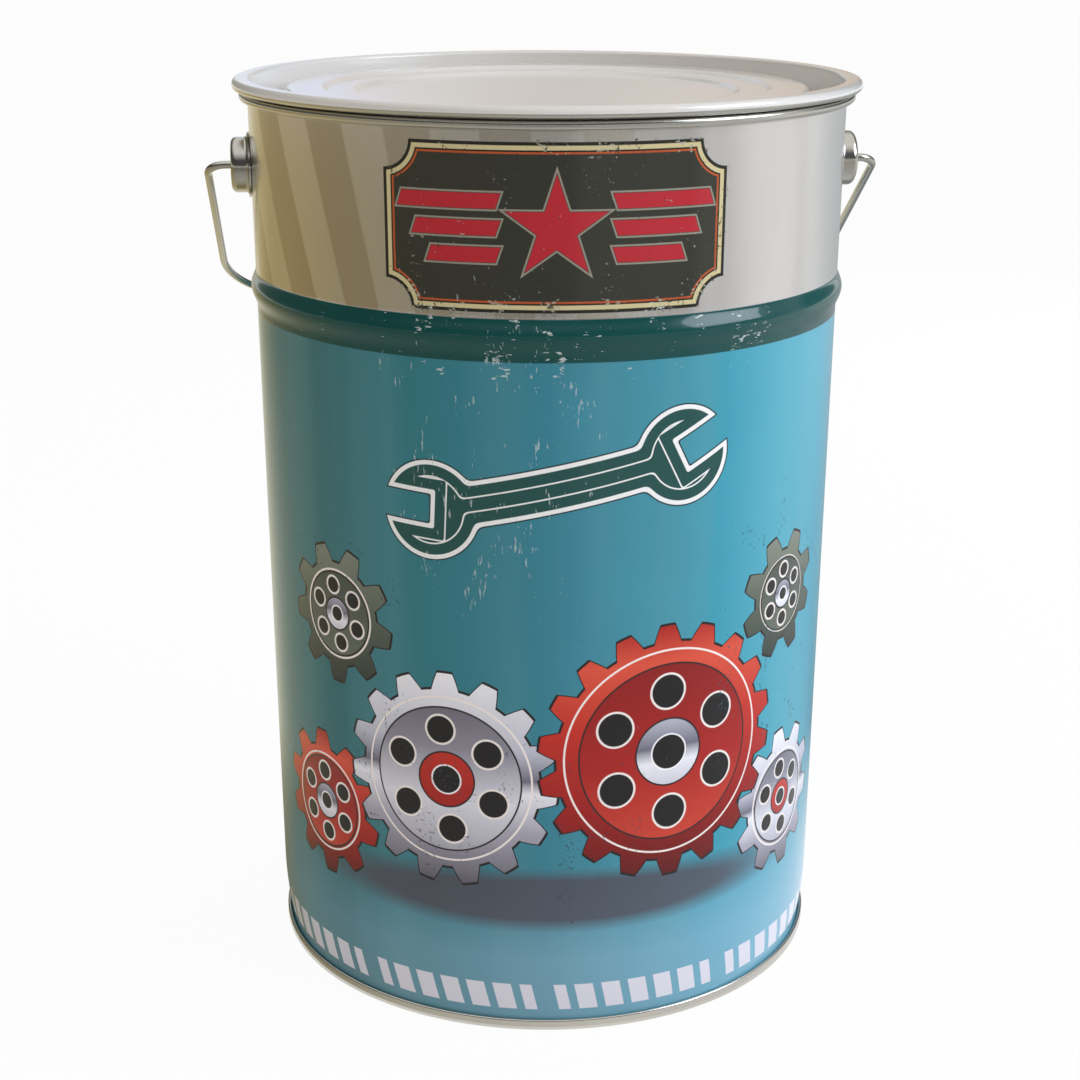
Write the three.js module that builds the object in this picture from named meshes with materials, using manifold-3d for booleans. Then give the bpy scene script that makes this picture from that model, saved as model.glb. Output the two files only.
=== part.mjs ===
// A slightly conical tinplate pail of about thirty litres, with a press-in lid and a wire bail.
// Millimetres, +Z up. The origin is on the floor under the middle of the base, the ears are on
// the X axis, and the printed front faces -Y. The bail hangs behind the pail, against its wall.

import * as THREE from 'three';
import { mergeVertices } from 'three/addons/utils/BufferGeometryUtils.js';
import Module from 'manifold-3d';

const wasm = await Module();
wasm.setup();

// Play between pieces that touch or nest in one another
const fitGap = 0.3;

// Counts of faces around the round forms
const turnFaces = 40;
const earFaces = 24;
const gripFaces = 20;
const wireSides = 12;

// Pail wall: a rolled and welded cone with one swaged bead and an outward curl at the mouth.
// Drops are measured down from the top of the wall, where the curl begins.
const bodySheet = 0.45;
const wallBaseRadius = 145.6;
const wallTopRadius = 150;
const wallTopHeight = 448.6;
const beadDrop = 92.4;
const beadWidth = 19;
const beadProud = 2.6;
const beadSteps = 6;
const curlRadius = 2.4;
const curlEndAngle = THREE.MathUtils.degToRad(-120);
const curlSteps = 7;

// Neck: the foot of the wall is drawn in above the base seam, which so stands no wider than the wall
const neckDepth = 2.3;
const neckTopHeight = 38;
const neckBottomHeight = 8;
const neckSteps = 4;

// Base: a drawn end, double seamed to the wall
const baseSheet = 0.45;
const seamHeight = 5.6;
const seamCornerRadius = 0.6;
const baseRecess = 6.2;
const baseRingWidth = 20;
const baseStepWidth = 5.5;
const basePanelDrop = 2.8;
const compoundHeight = 0.6;
const foldSteps = 3;
const cornerSteps = 2;
const easySteps = 1;

// Lid: a drawn plug with a rolled edge, a trough, two ring panels and a sunk centre panel.
// It overhangs the widest place of the curl.
const lidSheet = 0.5;
const lidOverhang = 3.25;
const lidRollRadius = 2.9;
const lidRollEndAngle = THREE.MathUtils.degToRad(-189);
const lidRollSteps = 7;
const lidShoulderRadius = 1.5;
const lidPlugDepth = 8.4;
const lidTroughWidth = 17;
const lidTroughRadius = 3;
const lidRiserWidth = 1.4;
const lidPanelSink = 5;
const lidPanelEdgeRadius = 1.6;
const lidOuterStepRadius = 113;
const lidOuterStepDepth = 1.6;
const lidInnerStepRadius = 97;
const lidInnerStepDepth = 1.8;
const lidStepWidth = 3;
const lidStepRound = 2.5;

// Bail: a round wire that hangs behind the pail at this angle from straight down
const wireRadius = 2;
const hangAngle = THREE.MathUtils.degToRad(54.1);
const legLeanAngle = THREE.MathUtils.degToRad(1);
const crownSlopeAngle = THREE.MathUtils.degToRad(28.2);
const bailSideRoom = 11.9;
const endBendRadius = 9;
const shoulderBendRadius = 50;
const crownBendRadius = 50;
const headRadius = 4.2;
const headThickness = 2.4;
const bendSteps = 8;

// Grip: a moulded tube that turns on the straight middle of the wire
const gripRadius = 7;
const gripEndRadius = 6.2;
const gripLength = 96;
const gripEndRound = 1.5;
const gripPlay = 0.4;
const gripEndRoom = 4;

// Ears: drawn cups with a flange that follows the wall
const pivotDrop = 32.5;
const earSheet = 1;
const earDepth = 9.3;
const earCupRadius = 13.8;
const earFlangeRadius = 16.2;
const earCornerRadius = 2.5;
const earRootRadius = 2;

// Paints and bare metals
const printMaterial = new THREE.MeshStandardMaterial({ color: 0x4a93a0, metalness: 0.35, roughness: 0.35 });
const tinMaterial = new THREE.MeshStandardMaterial({ color: 0xc9c8c2, metalness: 1, roughness: 0.28 });
const lidMaterial = new THREE.MeshStandardMaterial({ color: 0xe2e4e6, metalness: 0.1, roughness: 0.22 });
const zincMaterial = new THREE.MeshStandardMaterial({ color: 0xb4b6b2, metalness: 1, roughness: 0.38 });
const sealMaterial = new THREE.MeshStandardMaterial({ color: 0x8d9096, metalness: 0, roughness: 0.8 });
const gripMaterial = new THREE.MeshStandardMaterial({ color: 0x1d1e20, metalness: 0, roughness: 0.5 });

const point = (radius, height) => new THREE.Vector2(radius, height);

// Points on an arc about a centre, both ends included
function arc(centre, radius, startAngle, endAngle, steps) {
  return Array.from({ length: steps + 1 }, (_, step) => {
    const angle = startAngle + ((endAngle - startAngle) * step) / steps;
    return point(centre.x + radius * Math.cos(angle), centre.y + radius * Math.sin(angle));
  });
}

// An arc that rounds the corner of a path where it passes from one point by a corner to the next
function roundCorner(before, corner, after, radius, steps) {
  const back = before.clone().sub(corner).normalize();
  const ahead = after.clone().sub(corner).normalize();
  const opening = Math.acos(back.dot(ahead));
  const centreWay = back.clone().add(ahead).normalize();
  const centre = corner.clone().add(centreWay.multiplyScalar(radius / Math.sin(opening / 2)));
  const tangentRun = radius / Math.tan(opening / 2);
  const start = corner.clone().add(back.multiplyScalar(tangentRun)).sub(centre);
  const end = corner.clone().add(ahead.multiplyScalar(tangentRun)).sub(centre);
  const turn = Math.atan2(start.cross(end), start.dot(end));
  return arc(centre, radius, start.angle(), start.angle() + turn, steps);
}

// The closed outline of a sheet of even thickness along the middle line of its section
function sheetOutline(path, thickness) {
  const sides = path.map((place, index) => {
    const before = path[Math.max(index - 1, 0)];
    const after = path[Math.min(index + 1, path.length - 1)];
    const inWay = place.clone().sub(before).normalize();
    const outWay = after.clone().sub(place).normalize();
    const inNormal = index === 0 ? point(-outWay.y, outWay.x) : point(-inWay.y, inWay.x);
    const outNormal = index === path.length - 1 ? inNormal : point(-outWay.y, outWay.x);
    const normal = inNormal.clone().add(outNormal).normalize();
    const reach = thickness / 2 / normal.dot(inNormal);
    return [place.clone().addScaledVector(normal, reach), place.clone().addScaledVector(normal, -reach)];
  });
  const left = sides.map((pair) => pair[0]);
  const right = sides.map((pair) => pair[1]).reverse();
  return left.concat(right);
}

// One closed body: corners in the same place are merged, and faces with no area are left out
function closedBody(geometry) {
  geometry.deleteAttribute('normal');
  geometry.deleteAttribute('uv');
  const merged = mergeVertices(geometry);
  const corners = merged.index.array;
  const kept = [];
  for (let face = 0; face < corners.length; face += 3) {
    const [a, b, c] = corners.slice(face, face + 3);
    if (a !== b && b !== c && c !== a) kept.push(a, b, c);
  }
  merged.setIndex(kept);
  merged.computeVertexNormals();
  return merged;
}

// A body turned about +Z from an outline of radii and heights, which starts on the axis or closes
function turned(outline, faces) {
  const profile = outline.slice();
  if (THREE.ShapeUtils.area(profile) < 0) profile.reverse();
  if (Math.abs(profile[0].x) > Number.EPSILON) profile.push(profile[0].clone());
  const geometry = new THREE.LatheGeometry(profile, faces);
  geometry.rotateX(Math.PI / 2);
  return closedBody(geometry);
}

// Conversions between a three.js geometry and a solid that can be joined
function solidOf(geometry) {
  const vertProperties = new Float32Array(geometry.attributes.position.array);
  const triVerts = new Uint32Array(geometry.index.array);
  return new wasm.Manifold(new wasm.Mesh({ numProp: 3, vertProperties, triVerts }));
}

function geometryOf(solid) {
  const mesh = solid.getMesh();
  const geometry = new THREE.BufferGeometry();
  geometry.setAttribute('position', new THREE.BufferAttribute(new Float32Array(mesh.vertProperties), 3));
  geometry.setIndex(Array.from(mesh.triVerts));
  geometry.computeVertexNormals();
  return geometry;
}

// A curve through given points, so that a sweep puts one section on each of them
class PointPath extends THREE.Curve {
  constructor(points) {
    super();
    this.points = points;
  }

  getPoint(share) {
    const place = share * (this.points.length - 1);
    const index = Math.min(Math.floor(place), this.points.length - 2);
    return this.points[index].clone().lerp(this.points[index + 1], place - index);
  }

  getPointAt(share) {
    return this.getPoint(share);
  }

  getTangentAt(share) {
    const index = Math.round(share * (this.points.length - 1));
    const here = this.points[index];
    const inWay = here.clone().sub(this.points[Math.max(index - 1, 0)]).normalize();
    const outWay = this.points[Math.min(index + 1, this.points.length - 1)].clone().sub(here).normalize();
    return inWay.add(outWay).normalize();
  }
}

const beadHeight = wallTopHeight - beadDrop;
const pivotHeight = wallTopHeight - pivotDrop;

// Outer radius of the plain wall at a height
const wallTaper = (wallTopRadius - wallBaseRadius) / wallTopHeight;
const wallRadius = (height) => wallBaseRadius + wallTaper * height;
const footRadius = wallRadius(neckBottomHeight) - neckDepth;

// Double seam, from the inside out: chuck wall, pail wall, cover hook, pail hook, seaming wall.
// Each radius is the middle of its sheet.
const seamWallRadius = footRadius - bodySheet / 2;
const chuckRadius = footRadius - bodySheet - fitGap - baseSheet / 2;
const coverHookRadius = footRadius + fitGap + baseSheet / 2;
const pailHookRadius = coverHookRadius + baseSheet / 2 + fitGap + bodySheet / 2;
const seamingRadius = pailHookRadius + bodySheet / 2 + fitGap + baseSheet / 2;
const pailHookBend = (pailHookRadius - seamWallRadius) / 2;
const pailHookBottom = baseSheet + fitGap + bodySheet / 2;
const foldBend = (seamingRadius - coverHookRadius) / 2;
const compoundTop = seamHeight - baseSheet / 2 - foldBend;
const pailHookTop = compoundTop - compoundHeight - fitGap;

// The mouth: the curl turns outwards from the top of the wall
const curlMiddleRadius = curlRadius - bodySheet / 2;
const mouthWallRadius = wallTopRadius - bodySheet / 2;
const curlCentre = point(mouthWallRadius + curlMiddleRadius, wallTopHeight + curlRadius);
const curlTop = wallTopHeight + 2 * curlRadius;

// Pail wall with its hook in the base seam, its neck, its bead and its curl
function bodyShell() {
  const hookCentre = point(seamWallRadius + pailHookBend, pailHookBottom + pailHookBend);
  const hookBend = arc(hookCentre, pailHookBend, 0, -Math.PI, foldSteps);
  const neck = Array.from({ length: neckSteps + 1 }, (_, step) => {
    const share = step / neckSteps;
    const height = neckBottomHeight + share * (neckTopHeight - neckBottomHeight);
    const sunk = neckDepth * (1 - share) ** 2;
    return point(wallRadius(height) - bodySheet / 2 - sunk, height);
  });
  const bead = Array.from({ length: beadSteps + 1 }, (_, step) => {
    const share = step / beadSteps;
    const height = beadHeight - beadWidth / 2 + share * beadWidth;
    const proud = beadProud * Math.sin(Math.PI * share) ** 2;
    return point(wallRadius(height) - bodySheet / 2 + proud, height);
  });
  const path = [
    point(pailHookRadius, pailHookTop),
    ...hookBend,
    ...neck,
    ...bead,
    ...arc(curlCentre, curlMiddleRadius, Math.PI, curlEndAngle, curlSteps),
  ];
  return turned(sheetOutline(path, bodySheet), turnFaces);
}

// Base: centre panel, raised ring, chuck wall, flat foot of the seam, seaming wall and cover hook
function baseEnd() {
  const ringHeight = baseRecess;
  const panelHeight = baseRecess - basePanelDrop;
  const ringInner = chuckRadius - baseRingWidth;
  const footHeight = baseSheet / 2;
  const ringCorner = point(chuckRadius, ringHeight);
  const innerFoot = point(chuckRadius, footHeight);
  const outerFoot = point(seamingRadius, footHeight);
  const foldCentre = point(coverHookRadius + foldBend, compoundTop);
  const hookTip = point(coverHookRadius, pailHookBottom + bodySheet + fitGap);
  const path = [
    point(0, panelHeight),
    point(ringInner - baseStepWidth, panelHeight),
    point(ringInner, ringHeight),
    ...roundCorner(point(ringInner, ringHeight), ringCorner, innerFoot, seamCornerRadius, cornerSteps),
    ...roundCorner(ringCorner, innerFoot, outerFoot, seamCornerRadius, cornerSteps),
    ...roundCorner(innerFoot, outerFoot, point(seamingRadius, seamHeight), seamCornerRadius, cornerSteps),
    ...arc(foldCentre, foldBend, 0, Math.PI, foldSteps),
    hookTip,
  ];
  return turned(sheetOutline(path, baseSheet), turnFaces);
}

// A plain ring of rectangular section
function ring(innerRadius, outerRadius, bottom, top) {
  const outline = [
    point(innerRadius, bottom),
    point(outerRadius, bottom),
    point(outerRadius, top),
    point(innerRadius, top),
  ];
  return turned(outline, turnFaces);
}

// Sealing compound in the head of the base seam, on top of the pail's hook
function baseCompound() {
  const inner = pailHookRadius - bodySheet / 2;
  const outer = pailHookRadius + bodySheet / 2;
  return ring(inner, outer, compoundTop - compoundHeight, compoundTop);
}

// Lid levels and radii, each at the middle of the sheet but for the outermost one
const lidOuterRadius = curlCentre.x + curlRadius + lidOverhang;
const lidRollCentre = point(lidOuterRadius - lidRollRadius, curlTop + fitGap + lidRollRadius);
const lidTopHeight = lidRollCentre.y + lidRollRadius - lidSheet / 2;
const lidPlugRadius = wallTopRadius - bodySheet - fitGap - lidSheet / 2;
const lidTroughHeight = curlTop - lidPlugDepth + lidSheet / 2;
const lidOuterRingHeight = lidTopHeight - lidPanelSink;
const lidInnerRingHeight = lidOuterRingHeight - lidOuterStepDepth;
const lidPanelHeight = lidInnerRingHeight - lidInnerStepDepth;

// Lid: sunk centre panel, two steps with a ring panel each, trough, plug wall, shoulder and rolled edge
function lidShell() {
  const centreEdge = point(lidInnerStepRadius - lidStepWidth, lidPanelHeight);
  const innerRingStart = point(lidInnerStepRadius, lidInnerRingHeight);
  const innerRingEnd = point(lidOuterStepRadius - lidStepWidth, lidInnerRingHeight);
  const outerRingStart = point(lidOuterStepRadius, lidOuterRingHeight);
  const riserTop = point(lidPlugRadius - lidTroughWidth - lidRiserWidth, lidOuterRingHeight);
  const riserFoot = point(lidPlugRadius - lidTroughWidth, lidTroughHeight);
  const plugFoot = point(lidPlugRadius, lidTroughHeight);
  const shoulder = point(lidPlugRadius, lidTopHeight);
  const rollTop = point(lidRollCentre.x, lidTopHeight);
  const rollMiddleRadius = lidRollRadius - lidSheet / 2;
  const path = [
    point(0, lidPanelHeight),
    ...roundCorner(point(0, lidPanelHeight), centreEdge, innerRingStart, lidStepRound, easySteps),
    ...roundCorner(centreEdge, innerRingStart, innerRingEnd, lidStepRound, easySteps),
    ...roundCorner(innerRingStart, innerRingEnd, outerRingStart, lidStepRound, easySteps),
    ...roundCorner(innerRingEnd, outerRingStart, riserTop, lidStepRound, easySteps),
    ...roundCorner(outerRingStart, riserTop, riserFoot, lidPanelEdgeRadius, cornerSteps),
    ...roundCorner(riserTop, riserFoot, plugFoot, lidTroughRadius, cornerSteps),
    ...roundCorner(riserFoot, plugFoot, shoulder, lidTroughRadius, cornerSteps),
    ...roundCorner(plugFoot, shoulder, rollTop, lidShoulderRadius, cornerSteps),
    ...arc(lidRollCentre, rollMiddleRadius, Math.PI / 2, lidRollEndAngle, lidRollSteps),
  ];
  return turned(sheetOutline(path, lidSheet), turnFaces);
}

// Sealing ring under the lid's shoulder, between the plug wall and the roll, down on the pail's curl
function lidGasket() {
  const inner = lidPlugRadius + lidSheet / 2 + fitGap;
  const outer = lidRollCentre.x - lidRollRadius - fitGap;
  return ring(inner, outer, curlTop + fitGap, lidTopHeight - lidShoulderRadius);
}

// Ear: a cup with a hole in its face for the wire, and a flange bent to the wall it is welded to.
// It is turned about its own axis, laid along +X, and its root is drawn back to the round wall.
const earSeatRadius = wallRadius(pivotHeight) + fitGap;
const earFaceRadius = earSeatRadius + earDepth;

function ear() {
  const flangeEdge = point(earFlangeRadius, earSheet / 2);
  const sideRadius = earCupRadius - earSheet / 2;
  const root = point(sideRadius, earSheet / 2);
  const corner = point(sideRadius, earDepth - earSheet / 2);
  const holeEdge = point(wireRadius + fitGap, earDepth - earSheet / 2);
  const path = [
    flangeEdge,
    ...roundCorner(flangeEdge, root, corner, earRootRadius, cornerSteps),
    ...roundCorner(root, corner, holeEdge, earCornerRadius, cornerSteps),
    holeEdge,
  ];
  const geometry = turned(sheetOutline(path, earSheet), earFaces);
  geometry.rotateY(Math.PI / 2);
  const places = geometry.attributes.position;
  for (let index = 0; index < places.count; index += 1) {
    const out = places.getX(index);
    const across = places.getY(index);
    const up = places.getZ(index);
    const seat = Math.sqrt((wallRadius(pivotHeight + up) + fitGap) ** 2 - across ** 2);
    const rootShare = Math.max(0, 1 - out / earDepth);
    places.setX(index, earSeatRadius + out + (seat - earSeatRadius) * rootShare);
  }
  geometry.computeVertexNormals();
  return geometry;
}

// The bail's reach from its pivot puts the grip against the wall when the bail hangs
const wallSlant = Math.atan(wallTaper);
const gripStandoff = (gripRadius + fitGap) / Math.cos(wallSlant);
const reachShare = Math.sin(hangAngle) + wallTaper * Math.cos(hangAngle);
const bailReach = (wallRadius(pivotHeight) + gripStandoff) / reachShare;

// Bail wire in its own plane: X across the pail, -Z away from the pivot
const legRadius = lidOuterRadius + bailSideRoom + wireRadius;
const headOuter = earFaceRadius - earSheet - fitGap;
const crownCornerX = gripLength / 2 + gripEndRoom + crownBendRadius * Math.tan(crownSlopeAngle / 2);
const crownRise = Math.tan(crownSlopeAngle);
const legDrift = Math.tan(legLeanAngle);
const shoulderDepth = (bailReach - (legRadius - crownCornerX) * crownRise) / (1 - legDrift * crownRise);
const shoulderX = legRadius - shoulderDepth * legDrift;

function bailWire() {
  const start = point(headOuter - headThickness / 2, 0);
  const legTop = point(legRadius, 0);
  const shoulder = point(shoulderX, -shoulderDepth);
  const crown = point(crownCornerX, -bailReach);
  const middle = point(0, -bailReach);
  const half = [
    start,
    ...roundCorner(start, legTop, shoulder, endBendRadius, bendSteps),
    ...roundCorner(legTop, shoulder, crown, shoulderBendRadius, bendSteps),
    ...roundCorner(shoulder, crown, middle, crownBendRadius, bendSteps),
  ];
  const whole = half.concat(half.slice().reverse().map((place) => point(-place.x, place.y)));
  const route = whole.map((place) => new THREE.Vector3(place.x, 0, place.y));
  const section = new THREE.Shape();
  section.absarc(0, 0, wireRadius, 0, 2 * Math.PI);
  const sweep = new THREE.ExtrudeGeometry(section, {
    steps: route.length - 1,
    curveSegments: wireSides / 2,
    extrudePath: new PointPath(route),
  });
  let wire = solidOf(closedBody(sweep));
  for (const side of [1, -1]) {
    const head = new THREE.CylinderGeometry(headRadius, headRadius, headThickness, earFaces);
    head.rotateZ(Math.PI / 2);
    head.translate(side * (headOuter - headThickness / 2), 0, 0);
    wire = wire.add(solidOf(closedBody(head)));
  }
  return geometryOf(wire);
}

// Grip: a barrel-shaped tube with rounded ends and a bore that runs on the wire, along X
function bailGrip() {
  const boreRadius = wireRadius + gripPlay;
  const half = gripLength / 2;
  const end = point(boreRadius, half);
  const rim = point(gripEndRadius, half);
  const waist = point(gripRadius, 0);
  const upper = [end, ...roundCorner(end, rim, waist, gripEndRound, cornerSteps)];
  const lower = upper.slice().reverse().map((place) => point(place.x, -place.y));
  const geometry = turned([...upper, waist, ...lower], gripFaces);
  geometry.rotateY(Math.PI / 2);
  return geometry;
}

function mesh(name, geometry, material) {
  const piece = new THREE.Mesh(geometry, material);
  piece.name = name;
  return piece;
}

const pail = new THREE.Group();
pail.add(mesh('body_shell', bodyShell(), printMaterial));
pail.add(mesh('base_end', baseEnd(), tinMaterial));
pail.add(mesh('base_compound', baseCompound(), sealMaterial));

for (const [name, turn] of [['ear_right', 0], ['ear_left', Math.PI]]) {
  const piece = mesh(name, ear(), zincMaterial);
  piece.position.z = pivotHeight;
  piece.rotation.z = turn;
  pail.add(piece);
}

const lid = new THREE.Group();
lid.add(mesh('lid', lidShell(), lidMaterial));
lid.add(mesh('lid_gasket', lidGasket(), sealMaterial));
pail.add(lid);

const bail = new THREE.Group();
bail.position.z = pivotHeight;
bail.rotation.x = hangAngle;
bail.add(mesh('bail_wire', bailWire(), zincMaterial));
const grip = mesh('bail_grip', bailGrip(), gripMaterial);
grip.position.z = -bailReach;
bail.add(grip);
pail.add(bail);

export default pail;
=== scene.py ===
"""A lithographed tinplate pail with a press-in lid and a wire bail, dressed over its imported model.

Metres, +Z up, ears on the X axis, printed front towards -Y. Sheet forms are turned or swept from
profiles on numpy grids. Print patterns read the wall's own map, in millimetres round and up the wall.
"""

import math

import bpy
import numpy as np
from mathutils import Matrix, Vector


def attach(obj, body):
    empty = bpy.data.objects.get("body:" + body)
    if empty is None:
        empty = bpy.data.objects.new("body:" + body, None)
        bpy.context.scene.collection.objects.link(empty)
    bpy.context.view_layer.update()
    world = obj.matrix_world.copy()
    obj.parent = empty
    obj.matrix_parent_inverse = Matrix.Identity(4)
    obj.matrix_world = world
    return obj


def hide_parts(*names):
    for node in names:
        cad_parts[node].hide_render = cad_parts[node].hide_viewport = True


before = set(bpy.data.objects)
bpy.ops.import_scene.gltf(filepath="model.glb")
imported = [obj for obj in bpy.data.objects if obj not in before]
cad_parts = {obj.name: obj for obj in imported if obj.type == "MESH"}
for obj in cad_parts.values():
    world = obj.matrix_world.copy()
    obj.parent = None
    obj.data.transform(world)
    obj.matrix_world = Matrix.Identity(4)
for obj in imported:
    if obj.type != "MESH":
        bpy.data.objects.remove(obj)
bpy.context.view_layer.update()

MM = 0.001
TURN = 2 * math.pi

# Camera: fitted to the outlines of the wall, the mouth, the lid and the base ring
CAMERA_PLACE = Vector((-0.11265, -1.0422, 0.5502))
CAMERA_YAW = math.radians(6.0)
CAMERA_PITCH = math.radians(17.83)
CAMERA_ROLL = math.radians(0.104)
FOCAL_PIXELS = 2037.38
FRAME_PIXELS = 1080
SENSOR_WIDTH = 36.0
CLIP_START, CLIP_END = 0.05, 60


def new_object(name, data):
    """An object with its data, linked to the scene."""
    made = bpy.data.objects.new(name, data)
    bpy.context.scene.collection.objects.link(made)
    return made


def make_camera():
    """Looks along the yawed and pitched direction, rolled about it."""
    forward = Vector((
        math.sin(CAMERA_YAW) * math.cos(CAMERA_PITCH),
        math.cos(CAMERA_YAW) * math.cos(CAMERA_PITCH),
        -math.sin(CAMERA_PITCH),
    ))
    level = Vector((math.cos(CAMERA_YAW), -math.sin(CAMERA_YAW), 0))
    upright = level.cross(forward)
    right = level * math.cos(CAMERA_ROLL) + upright * math.sin(CAMERA_ROLL)
    up = upright * math.cos(CAMERA_ROLL) - level * math.sin(CAMERA_ROLL)
    data = bpy.data.cameras.new("camera")
    data.sensor_width = SENSOR_WIDTH
    data.lens = FOCAL_PIXELS / FRAME_PIXELS * SENSOR_WIDTH
    data.clip_start, data.clip_end = CLIP_START, CLIP_END
    camera = new_object("camera", data)
    turn = Matrix((right, up, -forward)).transposed().to_4x4()
    camera.matrix_world = Matrix.Translation(CAMERA_PLACE) @ turn
    bpy.context.scene.camera = camera


# Node trees
def colour(value):
    """Linear colour of an sRGB hex value: c / 12.92 when dark, else ((c + 0.055) / 1.055) ** 2.4."""
    parts = [int(value[i:i + 2], 16) / 255 for i in (1, 3, 5)]
    return tuple(c / 12.92 if c <= 0.04045 else ((c + 0.055) / 1.055) ** 2.4 for c in parts) + (1.0,)


def add(tree, kind, *feeds, stops=(), **settings):
    """Adds one node and returns its first output. A kind in capitals is the operation of a Math node.
    Feeds go to the inputs in order, a setting goes to the input or property of its name, and stops are
    a colour ramp's (place, tone) pairs. A feed is another node's output, a value or a hex value."""
    if kind.isupper():
        kind, settings = "Math", {"operation": kind}
    node = tree.nodes.new("ShaderNode" + kind)
    for name in [name for name in settings if name not in node.inputs]:
        setattr(node, name, settings[name])
    if stops:
        while len(node.color_ramp.elements) < len(stops):
            node.color_ramp.elements.new(0.5)
        for element, (place, tone) in zip(node.color_ramp.elements, stops):
            element.position, element.color = place, colour(tone)
    pairs = list(zip([s for s in node.inputs if s.enabled], feeds))
    pairs += [(node.inputs[name], settings[name]) for name in settings if name in node.inputs]
    for socket, value in pairs:
        if isinstance(value, bpy.types.NodeSocket):
            tree.links.new(value, socket)
        elif value is not None:
            socket.default_value = colour(value) if isinstance(value, str) else value
    return next((s for s in node.outputs if s.enabled), None)


def new_material(name):
    """A material with an empty node tree, and its tree."""
    material = bpy.data.materials.new(name)
    material.use_nodes = True
    material.node_tree.nodes.clear()
    return material, material.node_tree


# The print, in millimetres: X from the middle of the artwork, Y up from the floor
WALL_TURN = 930.0
ART_SHIFT = 11.4
MAP_HEIGHT = 460.0
SOFT = 0.14

FIELD_INKS = ((0.0, "#2e7985"), (0.32, "#358195"), (0.73, "#3798ae"), (0.96, "#4ba4b9"))
FIELD_DEEPEST, FIELD_DRIFT, FIELD_FADE = -95.0, 60.0, (60.0, 265.0)
# Painted shade: the field is multiplied darker and greyer round the left side
PAINTED_SHADE_FADE, PAINTED_SHADE_INK = (-80.0, -120.0), "#d6e2dc"
# Painted reflection: faint pale upright streaks on the field
REFLECTION_STREAK_CELL, REFLECTION_STREAK_SHIFT, REFLECTION_STREAK_SHARE, REFLECTION_STREAK_INK = (34, 700), (60, 0, 0), 0.17, "#6f9ca0"
# Painted reflection: a pale veil of the floor's reflection towards the foot
FLOOR_GLARE_FADE, FLOOR_GLARE_SHARE, FLOOR_GLARE_INK = (82.0, 40.0), 0.42, "#98bfd8"

BAND_BOTTOM, BAND_TOP, BAND_INK = 344.6, 364.5, "#0a4846"
PRINT_TOP = 447.6
RAYS_PER_RADIAN, RAY_EDGE = 9.9, 0.015
# The pale ink and its share are a painted reflection on the right of the upper band
RAY_INKS, RAY_REFLECTION_INK, RAY_REFLECTION_SHARE = ("#d6d2ca", "#bdb5a6"), "#dfdee0", 0.7

PLAQUE_MIDDLE = (0.0, 405.4)
PLAQUE_HALF = (80.0, 38.0)
PLAQUE_NOTCH = 13.0
PLAQUE_INKS = (
    (0.0, "#23221c"), (1.6, "#cbbf92"), (3.6, "#23221c"), (4.4, "#b5532a"), (5.3, "#34342d"))
STAR_TIP, STAR_SIDE = 24.0, math.radians(72)
STRIPE_STEP, STRIPE_HALF, STRIPE_LEAN = 12.0, 3.4, 0.35
STRIPE_START, STRIPE_END, STRIPE_GROWTH = 26.0, 65.0, 7.0
SIGN_INKS = ((-1.1, "#918d80"), (-0.3, "#34342d"), (0.0, "#b42431"))

# A gear's tooth width, half the depth of its teeth in tooth widths, the rise of a tooth's flank in
# parts of a pitch, and the radii of its other forms as shares of the root radius
TOOTH, TOOTH_DEPTH, FLANK = 6.83, 0.64, (0.14, 0.33)
WEB, HOLE_RING, HOLE, HOLES, HUB, BORE = 0.8, 0.56, 0.15, 6, 0.3, 0.13
TOOTH_LINE, LINE_WIDTH = 3.2, 1.0
DARK_LINE, PALE_LINE, WEB_LINE, HOLE_LINE, HOLE_INK, BORE_LINE = (
    "#241c1c", "#f3e9e4", "#2c2222", "#efe6e2", "#1d1a1c", "#f6f3f6")

RED_FACE = ((0.0, "#5c0a0c"), (0.3, "#9c1613"), (0.62, "#c22a1e"), (0.86, "#d8503a"), (1.0, "#a81c15"))
RED_WEB = ((0.0, "#7d0f10"), (0.55, "#a81c17"), (1.0, "#d64a36"))
CHROME_FACE = (
    (0.0, "#5d5a66"), (0.28, "#a9a7b6"), (0.46, "#e8e8f0"),
    (0.52, "#6e6c7c"), (0.66, "#bfc0cf"), (1.0, "#f1f1f6"))
CHROME_WEB = ((0.0, "#4b4854"), (0.35, "#8d8b99"), (0.6, "#dcdce6"), (1.0, "#7b7988"))
OLIVE_FACE = ((0.0, "#2f3530"), (0.5, "#566055"), (1.0, "#7d8476"))
OLIVE_WEB = ((0.0, "#3a4038"), (1.0, "#6b7266"))

# The picture: (middle, number of teeth, turn in degrees, face, web, hub), back to front. The pitch
# radius is the number of teeth times half of TOOTH, so that neighbours mesh
GEARS = (
    ((-118.0, 209.0), 9, 9.0, OLIVE_FACE, OLIVE_WEB, CHROME_FACE),
    ((133.0, 214.0), 8, 0.0, OLIVE_FACE, OLIVE_WEB, CHROME_FACE),
    ((-133.0, 103.0), 10, 3.0, RED_FACE, RED_WEB, CHROME_FACE),
    ((140.9, 100.1), 10, 8.0, CHROME_FACE, CHROME_WEB, RED_FACE),
    ((-54.0, 135.0), 15, 6.0, CHROME_FACE, CHROME_WEB, RED_FACE),
    ((58.0, 148.0), 18, 2.0, RED_FACE, RED_WEB, CHROME_FACE),
)
SHADOW_MIDDLE, SHADOW_HALF, SHADOW_SHARE, SHADOW_INK = (0, 73), (158, 18), 0.9, "#4d4b57"

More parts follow.
